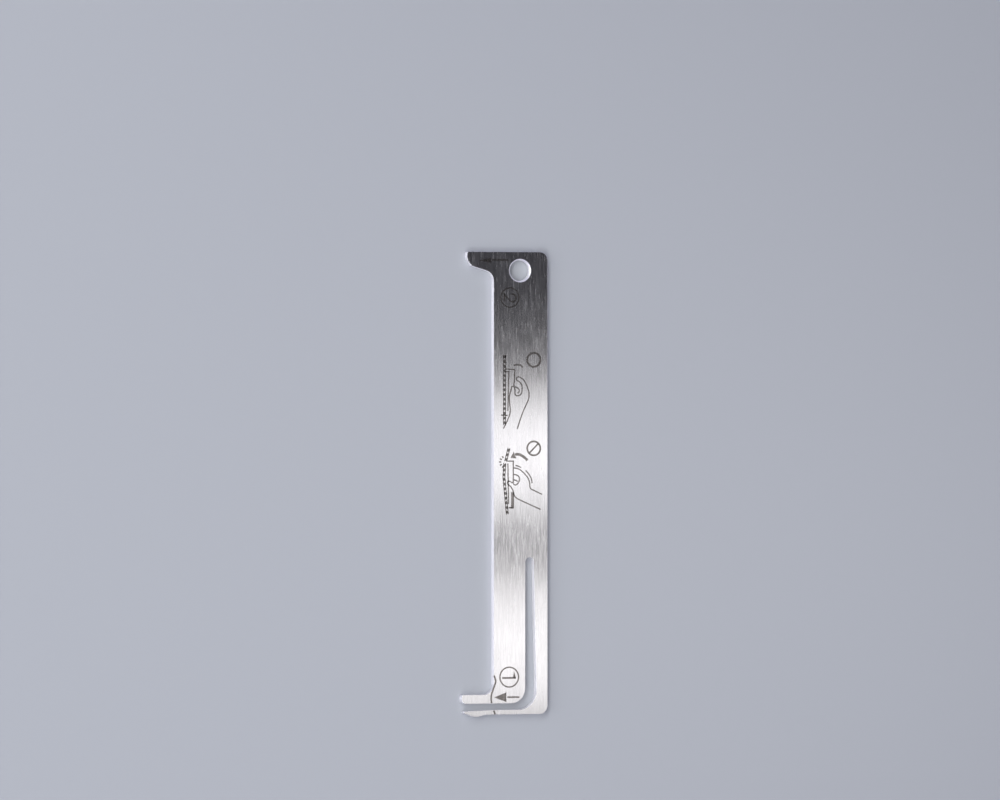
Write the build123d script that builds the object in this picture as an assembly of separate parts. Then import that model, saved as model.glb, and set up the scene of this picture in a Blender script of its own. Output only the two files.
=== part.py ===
from build123d import *
import os
from math import cos, radians, sin, tan

# Chain wear gauge, blanked from one flat sheet of stainless steel, in millimetres.
# It lies on its back: X runs across the body, with the head and the tongues on the -X side,
# Y runs along the body from the tongues up to the head, and Z is the thickness of the sheet.
# The outline is drawn from two working edges: x = 0 is the body's edge on the tongue side,
# and y = 0 is the top of the upper tongue, which a roller of the chain sits on.

# The gauge face at the top of the head lies this far above the upper tongue: ten links of a
# half-inch chain that has worn by three quarters of a percent.
chain_pitch = 12.7
links_spanned = 10
wear_limit = 0.0075

# Sheet, and the rounding that tumbling leaves on the rims of both faces
thickness = 2.0
rim_rounding = 0.08

# Body
body_width = 16.6
outer_corner_radius = 2.4

# Head, a hook that drops between two rollers
head_reach = 8.15
head_heel_reach = 6.75
head_shoulder_depth = 2.4
head_heel_depth = 4.1
head_root_depth = 6.1
head_corner_radius = 0.5
head_shoulder_radius = 2.8
head_heel_radius = 0.9
head_root_radius = 3.2

# Hanging hole through the head end, with a chamfer on both faces
hole_diameter = 6.0
hole_below_top = 5.4
hole_from_back_edge = 8.5
hole_chamfer = 0.4

# Upper tongue
upper_tongue_reach = 9.8
upper_tongue_height = 2.63
upper_tongue_tip_radius = 0.6
upper_tongue_chin_radius = 1.3
upper_tongue_root_radius = 3.0

# Spring slot, which parts the lower tongue from the body. It widens downwards, so the spring
# arm beside it tapers towards the beam that carries the lower tongue.
slot_from_tongue_edge = 9.75
slot_width_at_end = 2.55
slot_length_above_tongue = 39.6
tongue_gap = 1.8
body_foot_radius = 4.4
arm_taper_angle = 1.3
arm_foot_radius = 5.4
beam_height = 1.4

# Lower tongue, with a cam under its tip that presses on the next roller
lower_tongue_reach = 9.15
lower_tongue_droop = 0.35
lower_tongue_bend_radius = 20.0
lower_tongue_tip_radius = 0.25
cam_height = 0.6
cam_crown_reach = 5.4
cam_radius = 4.0
cam_nose_angle = 20.0
cam_heel_angle = 14.0
cam_heel_radius = 6.0

# Levels and edges worked out from the sizes above
gauge_span = chain_pitch * links_spanned * (1 + wear_limit)
tongue_underside = -upper_tongue_height
beam_top = tongue_underside - tongue_gap
beam_underside = beam_top - beam_height
cam_crown_level = beam_underside - cam_height
slot_end_radius = slot_width_at_end / 2
slot_end_level = slot_length_above_tongue - slot_end_radius
slot_middle = slot_from_tongue_edge + slot_end_radius


def cam_corners():
    """The corners of the cam under the lower tongue: nose, crown and heel."""
    nose = radians(cam_nose_angle)
    heel = radians(cam_heel_angle)
    corner_offset = cam_radius / cos((nose + heel) / 2)
    corner_lean = (nose - heel) / 2
    crown_x = -cam_crown_reach - corner_offset * sin(corner_lean)
    crown_y = cam_crown_level + cam_radius - corner_offset * cos(corner_lean)
    nose_y = crown_y + (lower_tongue_reach + crown_x) * tan(nose)
    heel_x = crown_x + (beam_underside - crown_y) / tan(heel)
    return [
        ((-lower_tongue_reach, nose_y), lower_tongue_tip_radius),
        ((crown_x, crown_y), cam_radius),
        ((heel_x, beam_underside), cam_heel_radius),
    ]


def slot_end_points():
    """Where the slot's round end meets the spring arm, its top, and where it meets the body."""
    taper = radians(arm_taper_angle)
    arm_x = slot_middle + slot_end_radius * cos(taper)
    arm_y = slot_end_level + slot_end_radius * sin(taper)
    top = (slot_middle, slot_end_level + slot_end_radius)
    return (arm_x, arm_y), top, (slot_from_tongue_edge, slot_end_level)


def plate_corners():
    """Each corner of the outline with its radius, from the spring arm round to the body."""
    arm_x, arm_y = slot_end_points()[0]
    arm_foot_x = arm_x + (arm_y - beam_top) * tan(radians(arm_taper_angle))
    corners = [
        ((arm_foot_x, beam_top), arm_foot_radius),
        ((0, beam_top), lower_tongue_bend_radius),
        ((-lower_tongue_reach, beam_top - lower_tongue_droop), lower_tongue_tip_radius),
    ]
    corners += cam_corners()
    corners += [
        ((body_width, beam_underside), outer_corner_radius),
        ((body_width, gauge_span), outer_corner_radius),
        ((-head_reach, gauge_span), head_corner_radius),
        ((-head_reach, gauge_span - head_shoulder_depth), head_shoulder_radius),
        ((-head_heel_reach, gauge_span - head_heel_depth), head_heel_radius),
        ((0, gauge_span - head_root_depth), head_root_radius),
        ((0, 0), upper_tongue_root_radius),
        ((-upper_tongue_reach, 0), upper_tongue_tip_radius),
        ((-upper_tongue_reach, tongue_underside), upper_tongue_chin_radius),
        ((slot_from_tongue_edge, tongue_underside), body_foot_radius),
    ]
    return corners


def plate_outline():
    """The blanked outline: one run of rounded corners, closed by the slot's round end."""
    corners = plate_corners()
    arm_side, slot_top, body_side = slot_end_points()
    points = [arm_side] + [point for point, _ in corners] + [body_side]
    run = FilletPolyline(*points, radius=[radius for _, radius in corners])
    slot_end = ThreePointArc(body_side, slot_top, arm_side)
    return make_face([run, slot_end])


def hanging_hole():
    """The tool that cuts the hanging hole and its two chamfers."""
    rim_radius = hole_diameter / 2 + hole_chamfer
    bore = Cylinder(hole_diameter / 2, thickness)
    countersink = Cone(rim_radius, hole_diameter / 2, hole_chamfer)
    cone_height = (thickness - hole_chamfer) / 2
    tool = bore + Pos(0, 0, -cone_height) * countersink
    tool += Pos(0, 0, cone_height) * Rot(180, 0, 0) * countersink
    place = (body_width - hole_from_back_edge, gauge_span - hole_below_top, thickness / 2)
    return Pos(*place) * tool


def gauge_plate():
    """The whole gauge, with the middle of its back face at the origin."""
    plate = extrude(plate_outline(), thickness)
    rims = plate.edges().group_by(Axis.Z)
    plate = fillet(rims[0] + rims[-1], rim_rounding)
    plate -= hanging_hole()
    middle_x = (body_width - upper_tongue_reach) / 2
    middle_y = (gauge_span + cam_crown_level) / 2
    return Pos(-middle_x, -middle_y, 0) * plate


os.makedirs("parts", exist_ok=True)
export_step(gauge_plate(), "parts/gauge_plate.step")
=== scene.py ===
from math import atan2, cos, degrees, pi, radians, sin

import bmesh
import bpy
from mathutils import Matrix, Vector


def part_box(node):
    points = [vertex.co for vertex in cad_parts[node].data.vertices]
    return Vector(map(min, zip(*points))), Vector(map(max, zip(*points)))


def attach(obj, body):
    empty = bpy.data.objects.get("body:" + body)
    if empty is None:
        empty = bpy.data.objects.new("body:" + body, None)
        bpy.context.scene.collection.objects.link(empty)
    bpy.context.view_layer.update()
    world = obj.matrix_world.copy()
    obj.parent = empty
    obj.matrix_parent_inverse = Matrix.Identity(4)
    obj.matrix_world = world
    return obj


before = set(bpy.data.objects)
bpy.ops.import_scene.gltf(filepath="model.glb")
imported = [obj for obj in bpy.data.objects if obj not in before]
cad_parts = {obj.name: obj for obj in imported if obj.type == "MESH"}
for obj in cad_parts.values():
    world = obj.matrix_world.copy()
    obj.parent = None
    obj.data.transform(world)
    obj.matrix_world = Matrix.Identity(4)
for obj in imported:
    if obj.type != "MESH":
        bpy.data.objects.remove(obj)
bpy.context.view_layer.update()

mm = 0.001


# The plate: one blank of stainless sheet, punched out and tumbled, so that its rims are soft, and
# brushed lengthwise on both faces. Its punched walls keep a smooth band, where the punch slid, and
# a dull torn band below it.
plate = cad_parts["gauge_plate"]
plate_low, plate_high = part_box("gauge_plate")
plate_thickness = plate_high.z - plate_low.z


def put(tree, kind, inputs, **settings):
    """Adds a shader node. Each input is a plain value, or the output of another node to link."""
    node = tree.nodes.new("ShaderNode" + kind)
    for name, value in settings.items():
        setattr(node, name, value)
    for name, value in inputs.items():
        if isinstance(value, bpy.types.NodeSocket):
            tree.links.new(value, node.inputs[name])
        else:
            node.inputs[name].default_value = value
    return node


def between(tree, value, low, high, to_low=0.0, to_high=1.0):
    """The value, eased from one range to another and held at its ends."""
    ranges = {"From Min": low, "From Max": high, "To Min": to_low, "To Max": to_high}
    eased = put(tree, "MapRange", {"Value": value, **ranges}, interpolation_type="SMOOTHSTEP")
    return eased.outputs["Result"]


def work_out(tree, operation, first, second):
    """The result of a Math node on two values."""
    return put(tree, "Math", {0: first, 1: second}, operation=operation).outputs[0]


def add_share(tree, value, share, other):
    """The value plus a share of another one."""
    return put(tree, "Math", {0: other, 1: share, 2: value}, operation="MULTIPLY_ADD").outputs[0]


def noise_on(tree, place, fineness, detail):
    """Noise on a place. The fineness is how many of its patches go in a unit of that place."""
    return put(tree, "TexNoise", {"Vector": place, "Scale": fineness, "Detail": detail}).outputs[0]


def start_group(name, inputs, outputs):
    """A new shader node group, with its input and output nodes."""
    group = bpy.data.node_groups.new(name, "ShaderNodeTree")
    for label, (kind, value) in inputs.items():
        socket = group.interface.new_socket(label, in_out="INPUT", socket_type="NodeSocket" + kind)
        socket.default_value = value
    for label, kind in outputs.items():
        group.interface.new_socket(label, in_out="OUTPUT", socket_type="NodeSocket" + kind)
    given = group.nodes.new("NodeGroupInput").outputs
    result = group.nodes.new("NodeGroupOutput").inputs
    return group, given, result


def use_group(tree, group, inputs):
    """Places a node group in a material, with this material's values."""
    return put(tree, "Group", inputs, node_tree=group).outputs


# Brushing: streaks of a given size along each axis, finer and shorter hairlines among them, and
# slow drifts of tone where the belt pressed harder.
brushing, given, result = start_group(
    "brushing",
    {"Position": ("Vector", (0, 0, 0)), "Streak Size": ("Vector", (1, 1, 1))},
    {"Lines": "Float", "Hairlines": "Float", "Drift": "Float"},
)
in_streaks = put(
    brushing, "VectorMath", {0: given["Position"], 1: given["Streak Size"]}, operation="DIVIDE"
).outputs[0]
noise_turn = (0.5, 0.4, 0.6)


def brushing_layer(fineness, offset, detail):
    """Noise so many times finer than the streaks, turned askew, so that its grid doesn't show."""
    placing = {"Vector": in_streaks, "Scale": fineness, "Rotation": noise_turn, "Location": offset}
    return noise_on(brushing, put(brushing, "Mapping", placing).outputs[0], 1.0, detail)


streaks = brushing_layer((1, 1, 1), (0, 0, 0), 1.0)
hairlines = brushing_layer((1.7, 2.2, 1.7), (7, 3, 5), 2.0)
drift = brushing_layer((0.12, 0.5, 0.12), (2, 9, 4), 2.0)
grain = work_out(brushing, "ADD", streaks, hairlines)
brushing.links.new(between(brushing, grain, 0.7, 1.3), result["Lines"])
brushing.links.new(between(brushing, hairlines, 0.58, 0.72), result["Hairlines"])
brushing.links.new(between(brushing, drift, 0.3, 0.7), result["Drift"])

# Handling: faint patches left by fingers, and a few thin scratches that cross the brushing
smudge_fineness = 140
scratch_fineness = (2600, 90, 90)
scratch_turn = (0, 0, radians(17))
handling, given, result = start_group(
    "handling", {"Position": ("Vector", (0, 0, 0))}, {"Smudges": "Float", "Scratches": "Float"}
)
smudges = noise_on(handling, given["Position"], smudge_fineness, 3.0)
scratch_placing = {"Vector": given["Position"], "Rotation": scratch_turn, "Scale": scratch_fineness}
scratches = noise_on(handling, put(handling, "Mapping", scratch_placing).outputs[0], 1.0, 0.0)
handling.links.new(between(handling, smudges, 0.45, 0.75), result["Smudges"])
handling.links.new(between(handling, scratches, 0.76, 0.8), result["Scratches"])


def start_material(name):
    """A new material: its empty node tree, and the outputs that say where on the piece it is."""
    material = bpy.data.materials.new(name)
    material.use_nodes = True
    material.node_tree.nodes.clear()
    return material, material.node_tree, put(material.node_tree, "TexCoord", {}).outputs


def finish_brushed_metal(tree, inputs):
    """Ends a material in metal whose gloss is wide across the brushing, which is along X."""
    across = put(tree, "CombineXYZ", {"X": 1.0, "Y": 0.03, "Z": 0.2}).outputs[0]
    metal = put(tree, "BsdfPrincipled", {"Anisotropic": 0.7, "Tangent": across, **inputs})
    put(tree, "OutputMaterial", {"Surface": metal.outputs[0]})


face_streak = (0.42 * mm, 8 * mm, 3 * mm)
wall_streak = (0.12 * mm, 0.12 * mm, 1.6 * mm)
steel_colour = (0.73, 0.722, 0.732)
steel, tree, where = start_material("brushed_stainless")
face_lines = use_group(tree, brushing, {"Position": where["Object"], "Streak Size": face_streak})
wall_lines = use_group(tree, brushing, {"Position": where["Object"], "Streak Size": wall_streak})
wear = use_group(tree, handling, {"Position": where["Object"]})

# The walls are where the surface isn't level
upwards = put(tree, "SeparateXYZ", {"Vector": where["Normal"]}).outputs["Z"]
levelness = work_out(tree, "ABSOLUTE", upwards, 0.0)
wall_mask = between(tree, levelness, 0.6, 0.95, 1.0, 0.0)


def face_or_wall(face, wall):
    """The steel's own value of each kind of surface: the brushed faces and the punched walls."""
    return put(tree, "Mix", {0: wall_mask, 2: face, 3: wall}).outputs[0]


# The torn band is the lower part of each wall, and its upper edge is ragged
ragged_fineness = 1400
raggedness = 0.35 * mm
level = put(tree, "SeparateXYZ", {"Vector": where["Object"]}).outputs["Z"]
ragged_edge = noise_on(tree, where["Object"], ragged_fineness, 2.0)
ragged_level = add_share(tree, level, raggedness, ragged_edge)
torn_part = between(tree, ragged_level, 0.35 * plate_thickness, 0.55 * plate_thickness, 1.0, 0.0)
torn_band = work_out(tree, "MULTIPLY", wall_mask, torn_part)

line_tone = between(tree, face_lines["Lines"], 0.0, 1.0, 0.925, 1.045)
drift_tone = between(tree, face_lines["Drift"], 0.0, 1.0, 0.98, 1.02)
face_tone = work_out(tree, "MULTIPLY", line_tone, drift_tone)
face_tone = add_share(tree, face_tone, 0.04, face_lines["Hairlines"])
wall_tone = between(tree, wall_lines["Lines"], 0.0, 1.0, 1.16, 1.26)
wall_tone = add_share(tree, wall_tone, -0.08, torn_band)
tone = add_share(tree, face_or_wall(face_tone, wall_tone), -0.02, wear["Smudges"])
colour = put(tree, "VectorMath", {0: steel_colour, 3: tone}, operation="SCALE")

face_roughness = between(tree, face_lines["Lines"], 0.0, 1.0, 0.214, 0.246)
face_roughness = add_share(tree, face_roughness, 0.045, face_lines["Hairlines"])
wall_roughness = between(tree, wall_lines["Lines"], 0.0, 1.0, 0.46, 0.54)
wall_roughness = add_share(tree, wall_roughness, 0.08, torn_band)
roughness = face_or_wall(face_roughness, wall_roughness)
roughness = add_share(tree, roughness, 0.01, wear["Smudges"])

# The punched walls are crushed and matt, so they scatter light as a pale powder does
shine = between(tree, wall_mask, 0.0, 1.0, 1.0, 0.55)

relief_depth = 0.001 * mm
relief = face_or_wall(face_lines["Lines"], wall_lines["Lines"])
relief = add_share(tree, relief, -1.5, wear["Scratches"])
bump = put(tree, "Bump", {"Height": relief, "Distance": relief_depth})
finish_brushed_metal(
    tree,
    {
        "Base Color": colour.outputs[0],
        "Metallic": shine,
        "Roughness": roughness,
        "Normal": bump.outputs[0],
    },
)
plate.material_slots[0].material = steel


# The head's arrow: burnt into the front face with the other marks, as a dark film that hardly
# stands out of it. It points along the head, to the side that hooks into the chain.
head_top = plate_high.y
back_edge = plate_high.x
face_level = plate_high.z
mark_depth = 0.02 * mm

speck_fineness = 5200
mark_colour = (0.19, 0.176, 0.168)
mark_ink, tree, where = start_material("burnt_mark")
mark_lines = use_group(tree, brushing, {"Position": where["Object"], "Streak Size": face_streak})
specks = noise_on(tree, where["Object"], speck_fineness, 1.0)
brushed_tone = between(tree, mark_lines["Lines"], 0.0, 1.0, 0.84, 1.2)
speck_tone = between(tree, specks, 0.3, 0.7, 0.85, 1.15)
mark_tone = work_out(tree, "MULTIPLY", brushed_tone, speck_tone)
toned_colour = put(tree, "VectorMath", {0: mark_colour, 3: mark_tone}, operation="SCALE")
mark_bump = put(tree, "Bump", {"Height": mark_lines["Lines"], "Distance": relief_depth})
finish_brushed_metal(
    tree,
    {
        "Base Color": toned_colour.outputs[0],
        "Metallic": 0.95,
        "Roughness": between(tree, specks, 0.3, 0.7, 0.24, 0.3),
        "Normal": mark_bump.outputs[0],
    },
)

# In degrees: a line that turns by less than the first is drawn straight, and an arc that turns
# by more has about one step for each of the second
least_turn = 2
arc_step = 8


def draw_line(mark, start, heading, width, stops):
    """Draws one line of a mark, in millimetres, by sweeping a nib as wide as the line.

    The nib leaves the start in the given heading, in degrees, and runs to each stop in turn along
    the one arc that carries on from its heading at that moment."""
    place = Vector((start[0], start[1], 0))
    stand = Matrix.Rotation(radians(heading - 90), 4, "Z") @ Matrix.Rotation(pi / 2, 4, "X")
    shape = Matrix.Diagonal((width, mark_depth / mm, 1, 1))
    nib = bmesh.ops.create_grid(
        mark, x_segments=1, y_segments=1, size=0.5, matrix=Matrix.Translation(place) @ stand @ shape
    )
    front = nib["verts"][0].link_faces[0]
    for stop in stops:
        chord = Vector((stop[0], stop[1], 0)) - place
        lean = (degrees(atan2(chord.y, chord.x)) - heading + 180) % 360 - 180
        turn = 2 * lean
        if abs(turn) < least_turn:
            grown = bmesh.ops.extrude_face_region(mark, geom=[front])["geom"]
            corners = [part for part in grown if isinstance(part, bmesh.types.BMVert)]
            bmesh.ops.translate(mark, verts=corners, vec=chord)
        else:
            radius = chord.length / (2 * sin(radians(lean)))
            to_the_left = Vector((-sin(radians(heading)), cos(radians(heading)), 0))
            grown = bmesh.ops.spin(
                mark,
                geom=[front] + list(front.edges) + list(front.verts),
                cent=place + radius * to_the_left,
                axis=(0, 0, 1),
                angle=radians(turn),
                steps=max(2, round(abs(turn) / arc_step)),
            )["geom_last"]
            heading += turn
        place += chord
        front = next(part for part in grown if isinstance(part, bmesh.types.BMFace))


def fill_shape(mark, corners):
    """Fills one flat shape of a mark, in millimetres, from its corners."""
    half_depth = mark_depth / mm / 2
    face = mark.faces.new([mark.verts.new((x, y, -half_depth)) for x, y in corners])
    grown = bmesh.ops.extrude_face_region(mark, geom=[face])["geom"]
    raised = [part for part in grown if isinstance(part, bmesh.types.BMVert)]
    bmesh.ops.translate(mark, verts=raised, vec=(0, 0, 2 * half_depth))


def finish_mark(name, mark, across_from_back, down_from_top):
    """Scales a mark to metres, lays it on the front face, and fixes it to the plate."""
    bmesh.ops.scale(mark, vec=(mm, mm, mm), verts=mark.verts)
    place = Vector((back_edge - across_from_back, head_top - down_from_top, face_level))
    bmesh.ops.translate(mark, vec=place, verts=mark.verts)
    bmesh.ops.recalc_face_normals(mark, faces=mark.faces)
    mesh = bpy.data.meshes.new(name)
    mark.to_mesh(mesh)
    mark.free()
    mesh.materials.append(mark_ink)
    piece = bpy.data.objects.new(name, mesh)
    bpy.context.scene.collection.objects.link(piece)
    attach(piece, "root")


head_arrow = bmesh.new()
fill_shape(head_arrow, [(-4.55, 0), (-0.8, -0.8), (-0.8, 0.8)])
draw_line(head_arrow, (-0.5, 0.15), 0, 0.55, [(4.4, 0.15)])
finish_mark("head_arrow", head_arrow, 16.51 * mm, 2.5 * mm)


# The second step's numeral: a 2 in a ring, turned with its top to the plate's back edge, so that
# it reads upright when the gauge lies along a chain.
ring_steps = 56


def draw_ring(mark, centre, radius, width):
    """Draws a closed ring, in millimetres, by spinning a nib round its middle."""
    loop = bmesh.ops.create_circle(mark, cap_ends=False, segments=4, radius=0.5**0.5)["verts"]
    square = Matrix.Rotation(pi / 4, 4, "Z")
    shape = Matrix.Diagonal((width, mark_depth / mm, 1, 1))
    stand = Matrix.Translation((centre[0] + radius, centre[1], 0)) @ Matrix.Rotation(pi / 2, 4, "X")
    bmesh.ops.transform(mark, matrix=stand @ shape @ square, verts=loop)
    edges = {edge for corner in loop for edge in corner.link_edges}
    bmesh.ops.spin(
        mark,
        geom=loop + list(edges),
        cent=(centre[0], centre[1], 0),
        axis=(0, 0, 1),
        angle=2 * pi,
        steps=ring_steps,
        use_merge=True,
    )


step_two = bmesh.new()
draw_ring(step_two, (0, 0), 2.78, 0.4)
draw_line(step_two, (0.39, 0.93), 20, 0.48, [(-0.04, -0.85), (-1.72, 0.98)])
draw_line(step_two, (-1.72, 1.3), -90, 0.48, [(-1.72, -1.2)])
finish_mark("step_two", step_two, 11.59 * mm, 13.22 * mm)


# The right touch: a plain ring, and under it a small line drawing of a hand that only rests the
# gauge against a chain. Its lines follow the drawing burnt on the real gauge, in millimetres.
chain_pitch = 1.36
rail_offset = 0.3
rail_width = 0.28
roller_radius = 0.44
roller_sides = 16


def draw_chain(mark, start, heading, links):
    """Draws a small chain from the side: two rails, and a roller in each link."""
    turned = Matrix.Rotation(radians(heading), 2)
    for side in (-rail_offset, rail_offset):
        first = Vector(start) + turned @ Vector((0, side))
        last = first + turned @ Vector((links * chain_pitch, 0))
        draw_line(mark, first, heading, rail_width, [last])
    for link in range(links):
        middle = Vector(start) + turned @ Vector(((link + 0.5) * chain_pitch, 0))
        draw_dot(mark, middle, roller_radius)


def draw_dot(mark, centre, radius):
    """Draws a round dot, in millimetres."""
    bmesh.ops.create_cone(
        mark,
        cap_ends=True,
        cap_tris=False,
        segments=roller_sides,
        radius1=radius,
        radius2=radius,
        depth=mark_depth / mm,
        matrix=Matrix.Translation((centre[0], centre[1], 0)),
    )


sketch_width = 0.37
right_touch = bmesh.new()
draw_ring(right_touch, (9.05, -1.5), 2.02, 0.6)
draw_chain(right_touch, (0, 0), -90, 15)

# The small gauge: its head, its back, the hook's inner side, its working edge and its foot
draw_line(right_touch, (0.4, -4.15), -5, sketch_width, [(3.25, -4.35)])
draw_line(right_touch, (3.15, -4.25), -88, sketch_width, [(2.85, -9.3)])
draw_line(right_touch, (0.4, -4.95), 0, sketch_width, [(1.45, -4.95)])
draw_line(right_touch, (1.32, -4.95), -91, sketch_width, [(1.05, -16.3)])
draw_line(right_touch, (-1.05, -17.5), 0, sketch_width, [(1.0, -17.6)])

# The hand, and a short curved stroke for its light move
back_of_hand = [(5.2, -17.8), (7.0, -13.9), (7.4, -10.4), (6.3, -7.9), (4.6, -6.5)]
draw_line(right_touch, (3.95, -21.5), 73, sketch_width, back_of_hand)
first_finger = [(3.7, -6.8), (4.1, -7.6), (5.4, -9.2), (5.3, -10.9)]
curled_tip = [(4.3, -11.9), (3.2, -10.9), (2.95, -9.4)]
draw_line(right_touch, (4.65, -6.55), 137, sketch_width, first_finger + curled_tip)
draw_line(right_touch, (2.9, -9.3), -5, sketch_width, [(4.1, -9.7), (4.5, -10.6), (4.05, -11.2)])
heel_of_hand = [(1.45, -17.8), (1.75, -15.4), (1.5, -13.2), (1.75, -11.0)]
thumb_tip = [(2.15, -9.5), (2.6, -9.2)]
draw_line(right_touch, (-0.35, -21.4), 58, sketch_width, heel_of_hand + thumb_tip)
draw_line(right_touch, (2.85, -3.15), 18, 0.48, [(4.4, -2.95), (5.6, -3.7)])
finish_mark("right_touch", right_touch, 13.28 * mm, 29.7 * mm)


# The wrong touch: a ring with a slash, and under it a small line drawing of a hand that forces the
# gauge's head into a chain and bends it. Its lines follow the drawing burnt on the real gauge.
wrong_touch = bmesh.new()
draw_ring(wrong_touch, (9.02, -1.53), 2.02, 0.54)
draw_line(wrong_touch, (7.65, -2.9), 45, 0.46, [(10.39, -0.16)])
draw_chain(wrong_touch, (1.4, -1.4), -105, 3)
draw_chain(wrong_touch, (0.1, -5.75), -94, 3)
draw_chain(wrong_touch, (-0.17, -9.8), -84.5, 8)

# The thick arrow of the push
draw_line(wrong_touch, (7.1, -5.0), 132, 0.8, [(4.9, -3.4), (3.3, -3.35)])
fill_shape(wrong_touch, [(1.85, -4.25), (3.65, -4.45), (2.85, -2.45)])

# The small gauge, with a thick foot
draw_line(wrong_touch, (0.9, -5.2), 0, sketch_width, [(2.85, -5.2)])
draw_line(wrong_touch, (2.7, -5.1), -90, sketch_width, [(2.7, -11.4)])
draw_line(wrong_touch, (1.05, -5.9), -89, sketch_width, [(1.25, -17.6)])
draw_line(wrong_touch, (2.5, -14.2), -90, 0.88, [(2.5, -18.9)])
draw_line(wrong_touch, (1.3, -18.7), 0, 0.5, [(2.5, -18.7)])

# The hand, and two strokes for its move
pressing_finger = [(8.4, -13.4), (7.8, -12.4), (7.05, -9.85), (5.1, -7.9), (2.8, -7.2)]
draw_line(wrong_touch, (11.6, -14.85), 155.6, sketch_width, pressing_finger)
curled_finger = [(4.2, -9.5), (4.6, -10.7), (4.0, -11.8), (2.8, -11.9)]
draw_line(wrong_touch, (2.85, -9.1), 5, sketch_width, curled_finger)
draw_line(wrong_touch, (2.85, -10.6), -10, sketch_width, [(4.1, -11.1)])
wrist = [(6.0, -17.0), (4.2, -16.2)]
thumb = [(2.8, -14.4), (1.3, -12.1), (1.0, -11.2), (1.5, -11.0), (2.9, -11.7)]
draw_line(wrong_touch, (11.1, -19.2), 157, sketch_width, wrist + thumb)
draw_line(wrong_touch, (6.5, -7.9), -42, sketch_width, [(7.8, -9.4), (8.5, -11.6)])
draw_line(wrong_touch, (3.4, -6.5), -5, sketch_width, [(5.1, -7.1)])

# Short strokes round the joint where the chain bends
bent_joint = Vector((0.3, -5.45))
for heading in (120, 150, 180, 210, 240):
    outwards = Vector((cos(radians(heading)), sin(radians(heading))))
    stroke_end = bent_joint + 1.95 * outwards
    draw_line(wrong_touch, bent_joint + 1.3 * outwards, heading, 0.42, [stroke_end])
finish_mark("wrong_touch", wrong_touch, 13.28 * mm, 55.3 * mm)


# The first step's numeral: a 1 in a ring, turned as the 2 is. It is burnt above the tongues, the
# end that goes into the chain first.
step_one = bmesh.new()
draw_ring(step_one, (0, 0), 2.86, 0.42)
draw_line(step_one, (-2.14, -0.23), 0, 0.54, [(2.05, -0.23)])
fill_shape(step_one, [(2.05, -0.3), (1.15, -0.1), (1.5, 1.75)])
finish_mark("step_one", step_one, 11.82 * mm, 122.95 * mm)


# The tongue's arrow, burnt on the foot of the body like the other marks: it points along the
# upper tongue, to the chain.
tongue_arrow = bmesh.new()
fill_shape(tongue_arrow, [(-3.78, 0), (0, -1.4), (0, 1.4)])
draw_line(tongue_arrow, (0.3, 0), 0, 0.5, [(4.02, 0)])
finish_mark("tongue_arrow", tongue_arrow, 12.7 * mm, 128.75 * mm)


# The seating line: a thin burnt line across the root of both tongues, where the chain's plates
# end when the gauge is pushed home.
line_width = 0.5
seating_line = bmesh.new()
upper_stops = [(0.5, -1.35), (0.45, -2.2), (-0.6, -5.0), (-0.72, -7.96)]
draw_line(seating_line, (0, 0), -65, line_width, upper_stops)
draw_line(seating_line, (-0.1, -10.12), -66, line_width, [(0.38, -11.19)])
finish_mark("seating_line", seating_line, 16.51 * mm, 122.43 * mm)


# The floor that the gauge lies on: a wide flat sheet of pale matt card. It stays a hair below
# the back face, so that the two surfaces never coincide.
floor_reach = 6.0
floor_gap = 0.02 * mm
floor_mesh = bmesh.new()
bmesh.ops.create_grid(floor_mesh, x_segments=1, y_segments=1, size=floor_reach)
bmesh.ops.translate(floor_mesh, vec=(0, 0, plate_low.z - floor_gap), verts=floor_mesh.verts)
floor_data = bpy.data.meshes.new("floor")
floor_mesh.to_mesh(floor_data)
floor_mesh.free()
card_colour = (0.42, 0.435, 0.46, 1)
card = bpy.data.materials.new("pale_card")
card.use_nodes = True
card_surface = card.node_tree.nodes["Principled BSDF"]
card_surface.inputs["Base Color"].default_value = card_colour
card_surface.inputs["Roughness"].default_value = 0.9
card_surface.inputs["Specular IOR Level"].default_value = 0.1
floor_data.materials.append(card)
floor = bpy.data.objects.new("floor", floor_data)
bpy.context.scene.collection.objects.link(floor)


# The light: two softboxes close above the gauge, which its brushed face mirrors as a bright middle
# and a bright foot below a dark head. Four larger ones stand farther away, to both sides and
# beyond both ends, for the walls and the floor, and the room is dim and paler at the horizon.
def add_softbox(name, place, aim, width, length, radiance, colour):
    """A rectangular area lamp, its length along Y, that faces the aim and isn't seen itself."""
    lamp = bpy.data.lights.new(name, "AREA")
    lamp.shape = "RECTANGLE"
    lamp.size = width
    lamp.size_y = length
    lamp.energy = radiance * pi * width * length
    lamp.color = colour
    box = bpy.data.objects.new(name, lamp)
    bpy.context.scene.collection.objects.link(box)
    back = (Vector(place) - Vector(aim)).normalized()
    side = Vector((0, 1, 0)).cross(back).normalized()
    facing = Matrix((side, back.cross(side), back)).transposed().to_4x4()
    box.matrix_world = Matrix.Translation(place) @ facing
    box.visible_camera = False


view_angle = radians(20)
close_distance = 0.25
close_width = 0.3


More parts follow.
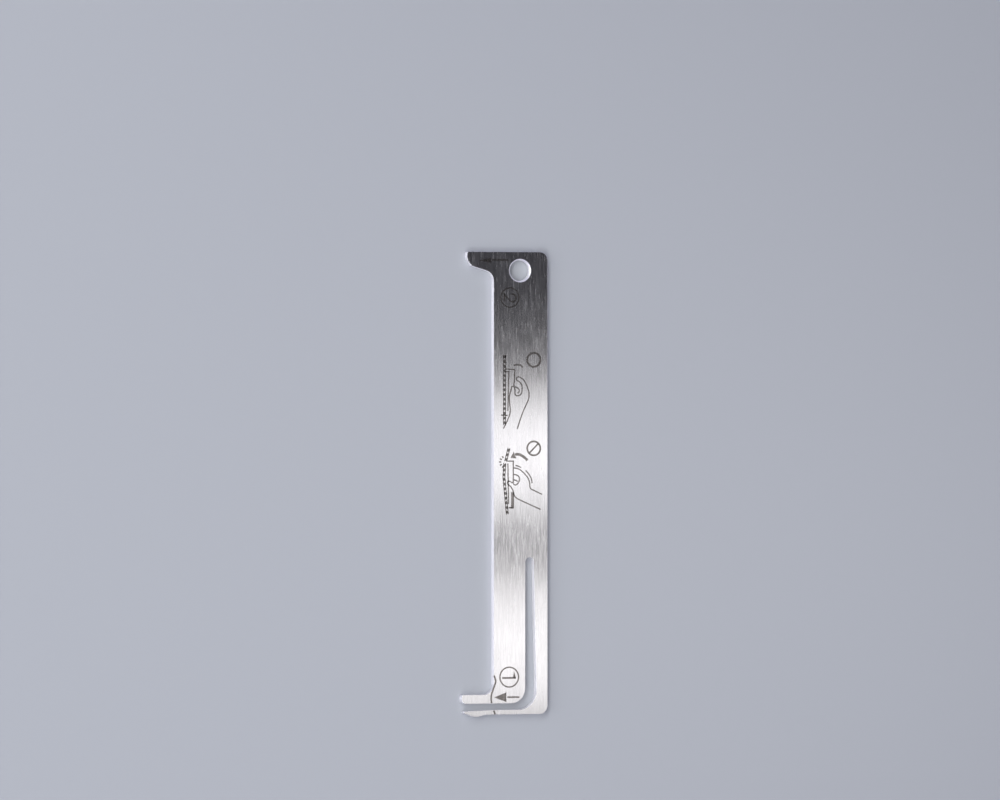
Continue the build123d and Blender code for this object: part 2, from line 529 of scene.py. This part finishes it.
def mirrored(along):
    """The point that the camera sees mirrored in the face at this height along the plate."""
    return Vector((close_distance * sin(view_angle), along, close_distance * cos(view_angle)))


for name, low, high, radiance, tint in (
    ("upper_softbox", -11.3 * mm, 26.0 * mm, 1.7, (1, 0.99, 1)),
    ("lower_softbox", -78 * mm, -31.5 * mm, 1.58, (1, 0.985, 0.985)),
):
    middle = (low + high) / 2
    add_softbox(name, mirrored(middle), (0, middle, 0), close_width, high - low, radiance, tint)

pale_blue = (0.95, 0.965, 1)
large_length = 1.0
for name, place, width, radiance in (
    ("left_softbox", (-1.05, 0, 0.77), 1.0, 2.9),
    ("right_softbox", (1.26, 0, 0.31), 0.6, 0.9),
    ("far_softbox", (-0.55, 0.75, 0.95), 0.5, 5.0),
    ("near_softbox", (-0.55, -0.75, 0.95), 0.5, 5.0),
):
    add_softbox(name, place, (0, 0, 0), width, large_length, radiance, pale_blue)

room_colour = (0.63, 0.61, 1, 1)
horizon_brightness = 0.93
ceiling_brightness = 0.012
world = bpy.data.worlds.new("room")
bpy.context.scene.world = world
world.use_nodes = True
tree = world.node_tree
tree.nodes.clear()
direction = put(tree, "TexCoord", {}).outputs["Generated"]
height = put(tree, "SeparateXYZ", {"Vector": direction}).outputs["Z"]
brightness = between(tree, height, 0.0, 0.65, horizon_brightness, ceiling_brightness)
room = put(tree, "Background", {"Color": room_colour, "Strength": brightness})
put(tree, "OutputWorld", {"Surface": room.outputs[0]})


# The camera looks down on the gauge from its hooked side, from as far as a long lens asks. Its
# frame is as wide at the gauge as the photograph's.
camera_distance = 2.5
frame_width = 0.289
sensor_width = 36
aim = Vector((-1.46 * mm, 24.36 * mm, plate_high.z))
camera_data = bpy.data.cameras.new("camera")
camera_data.sensor_width = sensor_width
camera_data.lens = sensor_width * camera_distance / frame_width
camera = bpy.data.objects.new("camera", camera_data)
bpy.context.scene.collection.objects.link(camera)
camera.location = aim + camera_distance * Vector((-sin(view_angle), 0, cos(view_angle)))
camera.rotation_euler = (0, -view_angle, 0)
bpy.context.scene.camera = camera
bpy.context.scene.view_settings.view_transform = "Standard"
